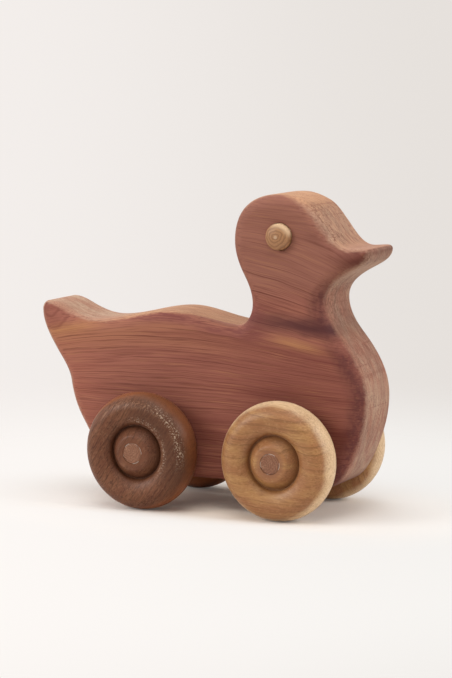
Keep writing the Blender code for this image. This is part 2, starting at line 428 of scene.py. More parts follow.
def cedar_marks(wood, vector, colour, bow):
    """This board's own marks: a purple band at the neck, a stain along the beak and a knot at the tail."""
    x, y, z = wood.split(vector)
    level = wood.total(z, wood.product(bow, 0.3), wood.wander(vector, (12, 12, 4), 4.0))
    band = wood.product(wood.peak(level, NECK_BAND, 7.5), wood.ramp(x, 18.0, 30.0))
    colour = wood.blend(wood.product(band, wood.ramp(x, 20.0, 60.0, 0.45, 0.9)), colour, CEDAR_PURPLE)
    stain = wood.product(wood.peak(x, BEAK_STAIN[0], 17.0), wood.peak(z, BEAK_STAIN[1], 8.0))
    colour = wood.blend(wood.product(stain, wood.ramp(y, -3.0, -9.0), 0.82), colour, CEDAR_LATE)
    from_knot = wood.point(wood.total(x, -TAIL_KNOT[0]), 0.0, wood.total(z, -TAIL_KNOT[1]))
    curl = wood.total(wood.length(from_knot), wood.wander(vector, (6, 9, 6), 2.0))
    inner_arc = wood.product(wood.peak(curl, KNOT_INNER, 1.2), 0.45)
    outer_arc = wood.product(wood.peak(curl, KNOT_OUTER, 1.5), 0.5)
    knot = wood.total(inner_arc, outer_arc, wood.ramp(curl, KNOT_OUTER, 7.0, 0.0, 0.25))
    return wood.blend(wood.product(knot, wood.ramp(x, -66.0, -72.0)), colour, CEDAR_DEEP)


print("the neck band lies", NECK_BAND, "mm up, and the knot is", 2 * KNOT_OUTER, "mm across")

# %% [markdown]
# ## The routed edges
# The router cuts down through the outer rings, and under the back it has laid open plum wood that the flat
# sides don't show. Along the breast, a purple-dark band is painted shade where the rounded edge turns
# between the lamps. Both follow the outline, not the rings. Painting them would need a picture, so a few
# smooth climbs repeat the breast's curve, and noise frays the streaks.

# %% Colour the routed edges
CEDAR_PLUM = rgb(0.170, 0.048, 0.045)
BREAST_MIDDLE = 57.0
BREAST_AHEAD = 86.0
BREAST_DEPTH = 2.0
KEEL_CURVE = -0.0083
THROAT_HEIGHT = 103.0
THROAT_AHEAD = 65.0
JAW_HEIGHT = 127.0
JAW_REACH = 22.0


def breast_edge(wood, z):
    """How far ahead the sawn edge lies at each height from the keel up to the jaw, in mm."""
    below = wood.calc("MAXIMUM", wood.calc("SUBTRACT", BREAST_MIDDLE, z), 0.0)
    keel = wood.product(below, below, KEEL_CURVE)
    throat = wood.ramp(z, THROAT_HEIGHT, BREAST_MIDDLE, THROAT_AHEAD, BREAST_AHEAD)
    jaw = wood.ramp(z, THROAT_HEIGHT, JAW_HEIGHT, 0.0, JAW_REACH)
    return wood.total(keel, throat, jaw)


def breast_painted_shade(wood, vector, colour):
    """Painted shade: a purple-dark band along the inner side of the breast's rounded edge."""
    x, _, z = wood.split(vector)
    inside = wood.calc("SUBTRACT", breast_edge(wood, z), x)
    inside = wood.total(inside, wood.wander(vector, (7, 9, 9), 6.0))
    # Painted shade, tinted purple, along the breast's rounded edge.
    band = wood.product(wood.ramp(inside, -3.0, BREAST_DEPTH), wood.ramp(inside, 11.0, BREAST_DEPTH))
    speckle = wood.ramp(wood.noise(vector, (2.2, 2, 3)), 0.3, 0.65, 0.55, 1.0)
    paler = wood.ramp(wood.peak(z, 85.0, 12.0), 0.0, 1.0, 1.0, 0.5)
    strength = wood.product(wood.ramp(z, 122.0, 104.0, 0.0, 0.66), paler, speckle)
    return wood.blend(wood.product(band, strength), colour, CEDAR_PURPLE)


def cedar_plum(wood, vector, colour, flatness):
    """A plum streak that the router laid open under the back."""
    x, _, z = wood.split(vector)
    past_crest = wood.calc("MAXIMUM", wood.total(x, 17.0), 0.0)
    level = wood.total(z, wood.product(past_crest, 0.15), wood.wander(vector, (20, 9, 3), 3.0))
    patchy = wood.ramp(wood.noise(vector, (25, 9, 6)), 0.3, 0.6, 0.45, 1.0)
    mottle = wood.ramp(wood.noise(vector, (7, 1.0, 0.8)), 0.35, 0.62, 0.25, 0.8)
    streak = wood.product(wood.ramp(level, 89.0, 91.5), wood.ramp(z, 104.0, 98.0))
    streak = wood.product(streak, wood.ramp(flatness, 0.5, 0.72))
    reach = wood.product(wood.ramp(x, -60.0, -20.0), wood.ramp(x, 45.0, 25.0))
    return wood.blend(wood.product(streak, reach, patchy, mottle), colour, CEDAR_PLUM)


print("the breast lies", BREAST_MIDDLE, "mm up and the throat", THROAT_HEIGHT, "mm up")

# %% [markdown]
# ## The sawn edges
# The saw leaves the edges paler and rougher than the planed sides. A second material on these faces would
# end in a hard line, so one recipe goes from side to edge by the way the surface faces, with noise that
# makes the line between them ragged.

# %% Colour the sawn edges
CEDAR_PALE = rgb(0.580, 0.410, 0.288)
CEDAR_PINK = rgb(0.485, 0.268, 0.182)
CEDAR_TAN = rgb(0.640, 0.355, 0.190)
CEDAR_PORE = rgb(0.110, 0.042, 0.026)


def sawn_share(wood, vector, flatness, ahead, upward):
    """How far a point belongs to the sawn edge: one on the edge, none on the sides.

    The sides' red comes further over the edge from the back's middle to the neck and behind the head. Where
    the edge faces behind, painted rim light brings the pale edge further in. Along breast and jaw the line
    is softer.
    """
    x, y, z = wood.split(vector)
    # Painted light: where the edge faces behind, the pale edge reaches further in, as a rim of light.
    rim_light = wood.ramp(ahead, -0.1, -0.5, 0.0, 0.2)
    held = wood.product(wood.ramp(x, -26.0, 2.0), wood.ramp(z, 118.0, 108.0), 0.2)
    neck_foot = wood.product(wood.peak(x, 10.0, 22.0), wood.ramp(z, 106.0, 100.0))
    neck_foot = wood.product(neck_foot, wood.ramp(y, -8.0, -14.0, 0.1, 0.55))
    poll = wood.product(wood.ramp(x, 54.0, 38.0), wood.ramp(z, 112.0, 122.0), 0.4)
    turned = wood.calc("SUBTRACT", wood.total(flatness, held, neck_foot, poll), rim_light)
    soft = wood.calc("MAXIMUM", wood.ramp(upward, -0.2, -0.6), wood.ramp(ahead, 0.2, 0.6))
    soft = wood.product(soft, wood.ramp(z, 128.0, 120.0))
    start = wood.total(wood.ramp(z, 124.0, 134.0, 0.7, 0.92), wood.product(soft, 0.1))
    edge = wood.ramp(turned, start, wood.ramp(soft, 0.0, 1.0, 0.35, 0.12))
    return wood.product(edge, wood.ramp(z, 15.5, 22.0, 0.2, 1.0))


def cedar_sawn_edge(wood, vector, colour, fibre, edge, ahead, upward):
    """Paler sawn wood with darker fibres: tan along the back, pink on the beak, painted shade at the beak's
    front.
    """
    x, _, z = wood.split(vector)
    patch = wood.ramp(wood.noise(vector, (28, 6, 12)), 0.38, 0.62)
    tint = wood.blend(wood.product(patch, wood.ramp(z, 105.0, 120.0, 1.0, 0.35)), CEDAR_PALE, CEDAR_PINK)
    top = wood.ramp(upward, 0.4, 0.9, 0.0, 0.75)
    tint = wood.blend(wood.product(top, wood.ramp(x, 66.0, 78.0)), tint, CEDAR_PINK)
    back = wood.product(top, wood.ramp(x, -62.0, -40.0), wood.ramp(x, 78.0, 66.0))
    tint = wood.blend(back, tint, CEDAR_TAN)
    # Painted shade: the edge stays less pale where it faces ahead at throat and breast height.
    throat = wood.product(wood.ramp(ahead, 0.3, 0.7), wood.peak(z, 86.0, 27.0))
    share = wood.total(wood.ramp(throat, 0.0, 1.0, 0.75, 0.56), wood.ramp(x, -55.0, -70.0, 0.0, 0.12))
    colour = wood.blend(wood.product(edge, share), colour, tint)
    colour = wood.blend(wood.product(edge, wood.ramp(fibre, 0.45, 0.7, 0.0, 0.7)), colour, CEDAR_DEEP)
    # Painted shade on the sides and underside of the beak's point.
    tip_shade = wood.product(edge, wood.ramp(x, 82.0, 87.5), wood.ramp(z, 112.0, 118.0))
    tip_shade = wood.product(tip_shade, wood.ramp(upward, 0.5, 0.0), 0.22)
    colour = wood.blend(tip_shade, colour, CEDAR_PORE)
    # Painted shade: a dark band where the beak's top turns down at its front.
    streaks = wood.ramp(wood.noise(vector, (3.0, 1.8, 3.0)), 0.35, 0.6, 0.35, 1.0)
    lip_shade = wood.product(wood.ramp(z, 124.6, 127.0), wood.ramp(upward, 0.97, 0.75))
    lip_shade = wood.product(lip_shade, wood.ramp(x, 76.0, 82.0), streaks, 0.7)
    return wood.blend(lip_shade, colour, CEDAR_LATE)


PALER = CEDAR_PALE[0] / CEDAR_EARLY[0]
print("the pale edge reflects", round(PALER, 1), "times as much red light as the planed side")

# %% [markdown]
# ## End grain
# At breast, throat and tail the saw crosses the fibres, so it opens pores, tears fibres and leaves its own
# marks. Long streaks there would look like paint, so these marks are short, and they come in only where
# the surface faces ahead or behind.

# %% Open the end grain
CEDAR_GREY = rgb(0.200, 0.122, 0.094)
KERF_HEIGHT = 68.5


def cedar_end_grain(wood, vector, colour, end):
    """Greyish blotches, rays, saw marks, open pores and torn fibres, where the edge crosses the grain."""
    _, y, z = wood.split(vector)
    blotch = wood.ramp(wood.noise(vector, (9, 6, 14)), 0.38, 0.66, 0.0, 0.4)
    colour = wood.blend(wood.product(end, blotch), colour, CEDAR_GREY)
    ray = wood.noise(vector, (5, 1.0, 7), 2.0, 0.6)
    colour = wood.blend(wood.product(end, wood.ramp(ray, 0.45, 0.66, 0.0, 0.5)), colour, CEDAR_DEEP)
    sawn = wood.noise(vector, (40, 40, 1.1), 1.0)
    colour = wood.blend(wood.product(end, wood.ramp(sawn, 0.62, 0.75, 0.0, 0.4)), colour, CEDAR_DEEP)
    kerf = wood.total(z, wood.wander(vector, (9, 9, 30), 3.0))
    colour = wood.blend(wood.product(end, wood.peak(kerf, KERF_HEIGHT, 1.6), 0.4), colour, CEDAR_DEEP)
    colour = wood.blend(wood.product(end, wood.peak(kerf, KERF_HEIGHT - 8.0, 7.5), 0.2), colour, CEDAR_PALE)
    crowd = wood.ramp(wood.noise(vector, (14, 7, 14)), 0.35, 0.6, 0.3, 1.0)
    pore = wood.ramp(wood.noise(vector, (0.7, 0.45, 1.1), 1.0, 0.6), 0.54, 0.66)
    pores = wood.product(end, pore, crowd, wood.ramp(y, 8.0, -12.0, 0.4, 1.0))
    colour = wood.blend(wood.product(pores, wood.ramp(z, 90.0, 110.0, 0.5, 0.85)), colour, CEDAR_PORE)
    torn = wood.ramp(wood.noise(vector, (2.5, 1.4, 2.8), 1.0, 0.6), 0.54, 0.62)
    torn = wood.product(end, torn, wood.peak(z, 101.0, 20.0), wood.ramp(y, 10.0, -8.0, 0.3, 1.0))
    colour = wood.blend(wood.product(torn, 0.6), colour, CEDAR_PORE)
    fleck = wood.ramp(wood.noise(vector, (2.0, 1.2, 4.0)), 0.66, 0.72, 0.0, 0.5)
    return wood.blend(wood.product(end, fleck), colour, CEDAR_PURPLE), pores


print("the deepest saw mark crosses the breast", KERF_HEIGHT, "mm up")

# %% [markdown]
# ## One cedar for the whole board
# The board has the low, broken sheen of oiled wood. The layers above end in one plain surface shader:
# fibres set its roughness, and fibres, rings and pores give it a little bump. A clear coat on top would
# look like lacquer, so there is none.

# %% Put the cedar together
CEDAR_GLOSS = 0.16


def cedar():
    wood = SurfaceRecipe("cedar")
    vector = wood.place_mm()
    x, y, z = wood.split(vector)
    ahead, aside, upward = wood.facing()
    bow = cedar_bow(wood, x, z)
    height = cedar_height(wood, vector, bow)
    along = wood.point(x, y, height)
    fibre = wood.noise(along, (26, 0.9, 0.45), 3.0, 0.65)
    ragged = wood.total(wood.wander(vector, (8, 3, 7), 0.25),
                        wood.wander(vector, (2.4, 1.1, 1.1), 0.4))
    flatness = wood.total(wood.calc("ABSOLUTE", aside), ragged)
    edge = sawn_share(wood, vector, flatness, ahead, upward)
    end = wood.product(edge, wood.ramp(wood.calc("ABSOLUTE", ahead), 0.35, 0.75))
    colour, late = cedar_long_grain(wood, vector, along, height, fibre)
    colour = cedar_marks(wood, vector, colour, bow)
    colour = cedar_plum(wood, vector, colour, flatness)
    colour = breast_painted_shade(wood, vector, colour)
    colour = cedar_sawn_edge(wood, vector, colour, fibre, edge, ahead, upward)
    colour, pores = cedar_end_grain(wood, vector, colour, end)
    rough = wood.ramp(fibre, 0.2, 0.8, 0.55, 0.72)
    sunk = wood.calc("MULTIPLY", pores, -1.0)
    return wood.finish(colour, rough, CEDAR_GLOSS, [(0.25, fibre), (0.08, late), (0.5, sunk)])


CEDAR = cedar()
print("cedar has", len(CEDAR.node_tree.nodes), "nodes")

# %% [markdown]
# ## The duck's outline
# The duck is cut out of the board with a band saw, along a drawn line. A traced mesh would hold many points
# that nobody could correct, so the line is a short list of knots: where the blade is, as shares of the
# body's box, and which way it points there, in degrees. Smooth cubics run between them.

# %% List the knots of the sawn outline
Knot = namedtuple("Knot", "ahead up heading")
OUTLINE = {
    "tail_tip": Knot(0.0000, 0.5680, 90),
    "tail_top": Knot(0.0170, 0.5971, 0),
    "tail_fall": Knot(0.0822, 0.5691, -25),
    "back_dip": Knot(0.1736, 0.5396, 0),
    "back_crest": Knot(0.4049, 0.5842, 0),
    "neck_foot": Knot(0.6048, 0.5432, 0),
    "nape": Knot(0.6545, 0.6223, 90),
    "nape_turn": Knot(0.6305, 0.7165, 119),
    "head_back": Knot(0.6014, 0.8381, 90),
    "poll": Knot(0.6379, 0.9597, 42),
    "crown": Knot(0.7419, 1.0000, 0),
    "forehead": Knot(0.8134, 0.9748, -27),
    "brow": Knot(0.8680, 0.9052, -52),
    "beak_hollow": Knot(0.9475, 0.8216, 0),
    "beak_lip": Knot(0.9874, 0.8245, 0),
    "beak_tip": Knot(1.0000, 0.8108, -90),
    "jaw": Knot(0.9560, 0.7511, -152),
    "throat": Knot(0.8726, 0.6403, -90),
    "breast_turn": Knot(0.9183, 0.5165, -50),
    "breast": Knot(0.9926, 0.3058, -90),
    "keel": Knot(0.9440, 0.0791, -117),
    "belly_front": Knot(0.8704, 0.0000, 180),
    "belly_rear": Knot(0.2707, 0.0000, 180),
    "rump": Knot(0.1268, 0.1813, 121),
    "waist": Knot(0.0902, 0.3151, 98),
    "under_tail": Knot(0.0445, 0.4273, 122),
}
print("the outline has", len(OUTLINE), "knots")

# %% Run smooth cubics between the knots
OUTLINE_TURN = math.radians(3)
OUTLINE_STEP = 2.0 * MM


def knot_place(knot):
    return Vector((BODY_LOW.x + knot.ahead * BODY_SIZE.x, BODY_LOW.z + knot.up * BODY_SIZE.z))


def direction(degrees):
    return Vector((math.cos(math.radians(degrees)), math.sin(math.radians(degrees))))


def turn_between(first, second):
    return math.atan2(first.cross(second), first.dot(second))


def stretch_points(start, end):
    """Points from one knot up to the next, on a cubic that bends as an arc would."""
    first, last = knot_place(start), knot_place(end)
    leave, arrive = direction(start.heading), direction(end.heading)
    chord = last - first
    turning = abs(turn_between(leave, chord)) + abs(turn_between(chord, arrive))
    steps = math.ceil(max(chord.length / OUTLINE_STEP, turning / OUTLINE_TURN))
    reach = chord.length / (3 * math.cos(turn_between(leave, arrive) / 4) ** 2)
    return interpolate_bezier(first, first + leave * reach, last - arrive * reach, last, steps + 1)[:-1]


def outline_points():
    knots = list(OUTLINE.values())
    stretches = zip(knots, knots[1:] + knots[:1])
    return [Vector((point.x, point.y)) for pair in stretches for point in stretch_points(*pair)]


EDGE_POINTS = outline_points()
print("the sawn edge has", len(EDGE_POINTS), "points")

# %% [markdown]
# ## The rounded edges
# A router bit with a bearing follows the sawn outline and rounds it over on both sides. Beveling a finished
# mesh would fail where the beak and the tail are narrower than two bits, so each edge point gets its own
# spoke of the quarter round, which stops where the cuts from both sides meet in a ridge.

# %% Measure the room for the router bit
WELD_DISTANCE = 0.001 * MM


def inward_normals(points):
    normals = []
    for index, point in enumerate(points):
        arriving = (point - points[index - 1]).normalized()
        leaving = (points[(index + 1) % len(points)] - point).normalized()
        along = arriving + leaving
        normals.append(Vector((along.y, -along.x)).normalized())
    return normals


def inscribed_radius(point, normal, points):
    """Radius of the largest circle that touches the edge at this point and stays inside it."""
    radii = []
    for other in points:
        apart = other - point
        ahead = apart.dot(normal)
        if ahead > WELD_DISTANCE:
            radii.append(apart.length_squared / (2 * ahead))
    return min(radii)


EDGE_NORMALS = inward_normals(EDGE_POINTS)
EDGE_ROOMS = [inscribed_radius(*pair, EDGE_POINTS) for pair in zip(EDGE_POINTS, EDGE_NORMALS)]
print("the narrowest place has room for a radius of", round(min(EDGE_ROOMS) / MM, 1), "mm")

# %% Round the edges over
ROUND_STEPS = 10
RIDGE_SHARE = 0.85
FLAT_MARGIN = 0.6 * MM
FLAT_MARGIN_SHARE = 0.93


def round_over_spoke(point, normal, room):
    """(x, z, half thickness) from the sawn edge in to the flat, with a margin that keeps the flat flat."""
    inset = min(EDGE_ROUND, RIDGE_SHARE * room)
    full_turn = math.acos(1 - inset / EDGE_ROUND)
    spoke = []
    for step in range(ROUND_STEPS + 1):
        angle = full_turn * step / ROUND_STEPS
        place = point + normal * EDGE_ROUND * (1 - math.cos(angle))
        spoke.append((place.x, place.y, HALF_BOARD - EDGE_ROUND * (1 - math.sin(angle))))
    margin = point + normal * min(inset + FLAT_MARGIN, FLAT_MARGIN_SHARE * room)
    if inset == EDGE_ROUND and (margin - point).length > inset:
        spoke.append((margin.x, margin.y, HALF_BOARD))
    else:
        spoke.append(spoke[-1])
    return spoke


def skin_rows(shape, rows, closed=False):
    """Faces between each row of points and the next, and from the last row round to the first."""
    for row, following in zip(rows, rows[1:] + rows[:1]):
        pairs = list(zip(row, following))
        if closed:
            pairs.append(pairs[0])
        for (low, next_low), (high, next_high) in zip(pairs, pairs[1:]):
            shape.faces.new((low, high, next_high, next_low))


def duck_shape():
    """Both sides and the rounded edge between them, one row of points across the edge for each spoke."""
    shape = bmesh.new()
    rows = []
    for point, normal, room in zip(EDGE_POINTS, EDGE_NORMALS, EDGE_ROOMS):
        spoke = round_over_spoke(point, normal, room)
        right = [shape.verts.new((x, -half, z)) for x, z, half in reversed(spoke)]
        left = [shape.verts.new((x, half, z)) for x, z, half in spoke]
        rows.append(right + left)
    skin_rows(shape, rows)
    sides = [shape.faces.new([row[end] for row in rows]) for end in (0, -1)]
    shape.normal_update()
    bmesh.ops.triangulate(shape, faces=sides)
    bmesh.ops.remove_doubles(shape, verts=shape.verts, dist=WELD_DISTANCE)
    return shape


duck = mesh_object("cedar_duck", duck_shape())
print("the rounded board has", len(duck.data.polygons), "faces")

# %% [markdown]
# ## Drilled holes
# A drill press makes two bores for the axles and a blind hole for each eye. Leaving holes in the sides
# would mean joining rings of points by hand. An exact Boolean with a round cutter does what the drill does,
# and the cutters go once their cuts are applied.

# %% Drill the axle bores and the eye holes
DRILL_SIDES = 96
RUNNING_CLEARANCE = 0.4 * MM
GLUE_GAP = 0.3 * MM


def turned_shape(profile, sides, closed=False):
    """Turn a profile of (radius, distance along Y) points about the Y axis.

    Blender's own spin orders its points differently in each run, so the rows are made one by one.
    """
    shape = bmesh.new()
    rows = []
    for step in range(sides):
        around = direction(360 * step / sides)
        rows.append([shape.verts.new((radius * around.x, along, radius * around.y))
                     for radius, along in profile])
    skin_rows(shape, rows, closed)
    bmesh.ops.remove_doubles(shape, verts=shape.verts, dist=WELD_DISTANCE)
    return shape


def drill(target, radius, low, high, x, z):
    profile = [(0.0, low), (radius, low), (radius, high), (0.0, high)]
    cutter = mesh_object("cutter", turned_shape(profile, DRILL_SIDES))
    cutter.location = (x, 0.0, z)
    cut = target.modifiers.new("drill", "BOOLEAN")
    cut.object = cutter
    bpy.context.view_layer.update()
    with bpy.context.temp_override(object=target):
        bpy.ops.object.modifier_apply(modifier=cut.name)
    bpy.data.objects.remove(cutter, do_unlink=True)


for place in AXLE_PLACES.values():
    drill(duck, AXLE_RADIUS + RUNNING_CLEARANCE, -BODY_SIZE.y, BODY_SIZE.y, place.x, place.z)
EYE_PLACE = (EYE_LOW + EYE_HIGH) / 2
EYE_FLOOR = EYE_LOW.y - GLUE_GAP
for low, high in ((EYE_FLOOR, BODY_SIZE.y), (-BODY_SIZE.y, -EYE_FLOOR)):
    drill(duck, EYE_RADIUS + GLUE_GAP, low, high, EYE_PLACE.x, EYE_PLACE.z)
duck.data.set_sharp_from_angle(angle=SMOOTH_ANGLE)
dress(duck, CEDAR, "duck", "duck_body")

# %% [markdown]
# ## Maple and walnut
# Toy wheels are turned from boards, so the grain runs straight across their faces and comes out as end
# grain at two sides of the tread. Two materials written out apart would repeat the same steps, so one solid
# wood recipe serves both pairs, and each wood brings its own tones, ring spacing and sheen.

# %% Choose the wheel woods
# The groove tone is the colour of painted shade down in each groove.
WheelTones = namedtuple("WheelTones", "early late pale worn pore groove grit stain")
# The tread tone is real wear; the walnut also uses it as painted light on its inner face.
WheelWood = namedtuple("WheelWood", "tones spacing contrast pores grit gloss waxed")
MAPLE_TONES = WheelTones(
    early=rgb(0.302, 0.132, 0.051),
    late=rgb(0.165, 0.063, 0.020),
    pale=rgb(0.385, 0.202, 0.074),
    worn=rgb(0.730, 0.545, 0.340),
    pore=rgb(0.170, 0.066, 0.022),
    groove=rgb(0.180, 0.072, 0.026),
    grit=rgb(0.480, 0.270, 0.125),
    stain=rgb(0.225, 0.092, 0.045))
WALNUT_TONES = WheelTones(
    early=rgb(0.140, 0.052, 0.027),
    late=rgb(0.056, 0.020, 0.009),
    pale=rgb(0.175, 0.071, 0.036),
    worn=rgb(0.330, 0.112, 0.042),
    pore=rgb(0.030, 0.011, 0.006),
    groove=rgb(0.046, 0.013, 0.004),
    grit=rgb(0.280, 0.145, 0.080),
    stain=rgb(0.145, 0.054, 0.026))
# The last field says whether a wood gets painted shade, glints, sheen and reflections.
MAPLE = WheelWood(MAPLE_TONES, spacing=3.4, contrast=0.6, pores=0.25, grit=0.25,
                  gloss=0.36, waxed=False)
WALNUT = WheelWood(WALNUT_TONES, spacing=2.6, contrast=0.55, pores=0.45, grit=0.25,
                   gloss=0.2, waxed=True)
print("maple rings lie", MAPLE.spacing, "mm apart, walnut rings", WALNUT.spacing, "mm")

# %% [markdown]
# ## Straight grain
# On the face of a flat board the growth rings are long, nearly straight lines. Round rings, as on the end
# of a log, would look wrong on these wheels. So the height in the board, strayed a little, is cut into
# rings, and the fibres, pores and specks are stretched along the same lines.

# %% Grow straight grain
WHEEL_GRAIN_LEAN = 0.3


def wheel_grain(wood, vector, kind):
    """Straight grain along X. Returns the colour and the heights that fibres, rings and specks give."""
    tones = kind.tones
    x, y, z = wood.split(vector)
    strayed = wood.total(wood.wander(vector, (48, 18, 15), 6.0), wood.wander(vector, (12, 5, 5), 0.6))
    height = wood.total(z, wood.product(y, WHEEL_GRAIN_LEAN), strayed)
    ring = wood.calc("DIVIDE", height, kind.spacing)
    part = wood.calc("FRACT", ring)
    strength = wood.ramp(wood.chance(wood.calc("FLOOR", ring)), 0.0, 1.0, 0.15, 1.0)
    line = wood.product(wood.ramp(part, 0.55, 0.93), wood.ramp(part, 1.0, 0.93), strength)
    along = wood.point(x, y, height)
    fibre = wood.noise(along, (12, 0.7, 0.6), 3.0, 0.65)
    cloud = wood.noise(along, (30, 9, 5), 2.0)
    pore = wood.noise(along, (3.0, 0.6, 0.5), 1.0, 0.5)
    speck = wood.noise(along, (1.5, 0.7, 0.6), 1.0, 0.5)
    colour = wood.blend(wood.ramp(cloud, 0.4, 0.7), tones.early, tones.pale)
    colour = wood.blend(wood.product(line, kind.contrast), colour, tones.late)
    colour = wood.blend(wood.ramp(fibre, 0.42, 0.75, 0.0, kind.contrast), colour, tones.late)
    colour = wood.blend(wood.ramp(pore, 0.55, 0.66, 0.0, kind.pores), colour, tones.pore)
    colour = wood.blend(wood.ramp(speck, 0.55, 0.7, 0.0, kind.grit), colour, tones.grit)
    return colour, fibre, line, speck


print("wheel grain leans", WHEEL_GRAIN_LEAN, "mm for each mm of the wheel's width")

# %% [markdown]
# ## Wear and painted light
# Play has rubbed the treads pale. The darkness down in the grooves is painted shade, and the walnut carries
# painted light too: shade on one side, white glints on its crest and sheen on the slope inside it, pale
# reflections above them and a paler inner face. Wear could be painted on by hand, but the distance from the
# axle says where most of it lies, and noise and fibres break it up.

# %% Wear the treads and paint light and shade on the walnut
TREAD_START = 25.6
TREAD_END = 28.6
GROOVE_MIDDLE = 12.9


def wheel_wear(wood, vector, colour, fibre, tones):
    """A rubbed tread, painted shade down in the groove, and end grain sanded flush round the dowel."""
    x, y, z = wood.split(vector)
    radius = wood.length(wood.point(x, 0.0, z))
    uneven = wood.total(radius, wood.wander(vector, (18, 9, 9), 3.0))
    rubbed = wood.product(wood.ramp(uneven, TREAD_START, TREAD_END), wood.ramp(fibre, 0.7, 0.3, 0.5, 1.0))
    colour = wood.blend(rubbed, colour, tones.worn)
    # Painted shade: darker down in the groove.
    groove_shade = wood.product(wood.peak(radius, GROOVE_MIDDLE, 4.5), wood.ramp(y, 9.0, 5.0), 0.72)
    colour = wood.blend(groove_shade, colour, tones.groove)
    sanded = wood.product(wood.ramp(radius, 7.4, 6.0), wood.ramp(y, 9.6, 10.0), 0.6)
    return wood.blend(sanded, colour, tones.stain)


# Colour and radii of the painted glints, sheen and reflections on the walnut.
GLINT_WHITE = rgb(0.450, 0.345, 0.255)
GLINT_SHARE = 0.9
GLINT_RADIUS = 24.4
SHEEN_RADIUS = 16.0
REFLECTION_MIDDLE = 23.6


def walnut_painted_light(wood, vector, colour, fibre, tones):
    """Painted light: shade on one side, white glints and sheen, pale reflections above, and a paler back.
    """
    x, y, z = wood.split(vector)
    radius = wood.length(wood.point(x, 0.0, z))
    towards = wood.calc("DIVIDE", wood.total(wood.product(x, -0.9), wood.product(z, -0.42)), radius)
    # Painted shade: one side of the walnut is painted darker.
    shaded = wood.product(wood.ramp(towards, 0.0, 0.8), wood.ramp(radius, 14.0, 18.0), 0.55)
    colour = wood.blend(shaded, colour, tones.late)
    # Painted glints on the outer crest and painted sheen on the slope inside it, laid on as white specks.
    crest = wood.product(wood.peak(radius, GLINT_RADIUS, 2.8), wood.ramp(towards, 0.6, 0.95))
    inner = wood.product(wood.peak(radius, SHEEN_RADIUS, 2.6), wood.ramp(towards, 0.1, 0.7), 0.8)
    grains = wood.ramp(wood.noise(vector, (0.7, 0.7, 0.7), 1.0), 0.5, 0.74)
    glints_and_sheen = wood.product(grains, wood.total(crest, inner), wood.ramp(y, 4.0, 6.5), GLINT_SHARE)
    colour = wood.blend(glints_and_sheen, colour, GLINT_WHITE)
    # Painted reflections: pale marks on the upper part of the rim, in the pale speck tone.
    upper = wood.calc("DIVIDE", wood.total(wood.product(x, -0.71), wood.product(z, 0.71)), radius)
    reflections = wood.product(wood.peak(radius, REFLECTION_MIDDLE, 3.2), wood.ramp(upper, 0.6, 0.95))
    reflections = wood.product(reflections, wood.ramp(fibre, 0.52, 0.36), 0.7)
    colour = wood.blend(reflections, colour, tones.grit)
    # Painted light: the inner face is painted paler with the tread's pale tone.
    return wood.blend(wood.ramp(y, -5.0, -8.5, 0.0, 0.7), colour, tones.worn)


print("treads are rubbed from a radius of", TREAD_START, "mm outwards")

# %% [markdown]
# ## Four wheel finishes
# Each wheel was glued on with its grain at an angle of its own. Turning the wheel itself would do that, but
# the box round a turned object is larger than the wheel. So the wheels stand straight, and each finish
# turns its grain inside the material.

# %% Put the wheel woods together


def wheel_wood(name, kind, grain_turn):
    """Turned wood with straight grain, rubbed pale towards the tread, with painted shade down in the
    groove.
    """
    wood = SurfaceRecipe(name)
    vector = wood.turned(wood.place_mm(), "Y", -math.radians(grain_turn))
    x, y, z = wood.split(vector)
    colour, fibre, line, speck = wheel_grain(wood, vector, kind)
    colour = wheel_wear(wood, vector, colour, fibre, kind.tones)
    # Only the walnut gets painted shade, glints, sheen and reflections.
    if kind.waxed:
        colour = walnut_painted_light(wood, vector, colour, fibre, kind.tones)
    radius = wood.length(wood.point(x, 0.0, z))
    turning = wood.noise(wood.point(radius, y, 0.0), (0.3, 0.3, 1.0), 1.0)
    rough = wood.ramp(fibre, 0.2, 0.8, 0.36, 0.52)
    heights = [(0.3, fibre), (0.2, line), (0.2, turning), (0.15, speck)]
    return wood.finish(colour, rough, kind.gloss, heights)


# The last number is the angle of the grain, in degrees.
WHEEL_FINISHES = {
    "front_right": wheel_wood("maple_right", MAPLE, -4),
    "front_left": wheel_wood("maple_left", MAPLE, 70),
    "rear_right": wheel_wood("walnut_right", WALNUT, 55),
    "rear_left": wheel_wood("walnut_left", WALNUT, -20),
}
for place, finish in WHEEL_FINISHES.items():
    print(place, "has", finish.name, "with", len(finish.node_tree.nodes), "nodes")

# %% [markdown]
# ## The wheels
# Each wheel is one turned section: a flat back, a full-round rim, a groove cut round the middle, and a
# flared boss that the dowel comes through. Rings and cylinders joined together would leave seams between
# them. Spinning one section is what the lathe does, and it gives one smooth closed mesh.

# %% Draw the section of a wheel
WHEEL_WIDTH = 19.05 * MM
BOSS_WALL = 2.6 * MM
BOSS_FLARE = 5.0 * MM
BOSS_SHOULDER = 1.6 * MM
BOSS_SHOULDER_START = math.radians(40)
BOSS_PROUD = 0.7 * MM
GROOVE_WIDTH = 0.4 * MM
GROOVE_DEPTH = 4.6 * MM
ARC_STEP = math.radians(6)


def arc_points(centre, radii, start, end):
    """Points on an elliptical arc, both ends included. Angles run from the radius axis towards Y."""
    steps = max(1, round(abs(end - start) / ARC_STEP))
    angles = [start + (end - start) * step / steps for step in range(steps + 1)]
    return [(centre[0] + radii[0] * math.cos(angle), centre[1] + radii[1] * math.sin(angle))
            for angle in angles]


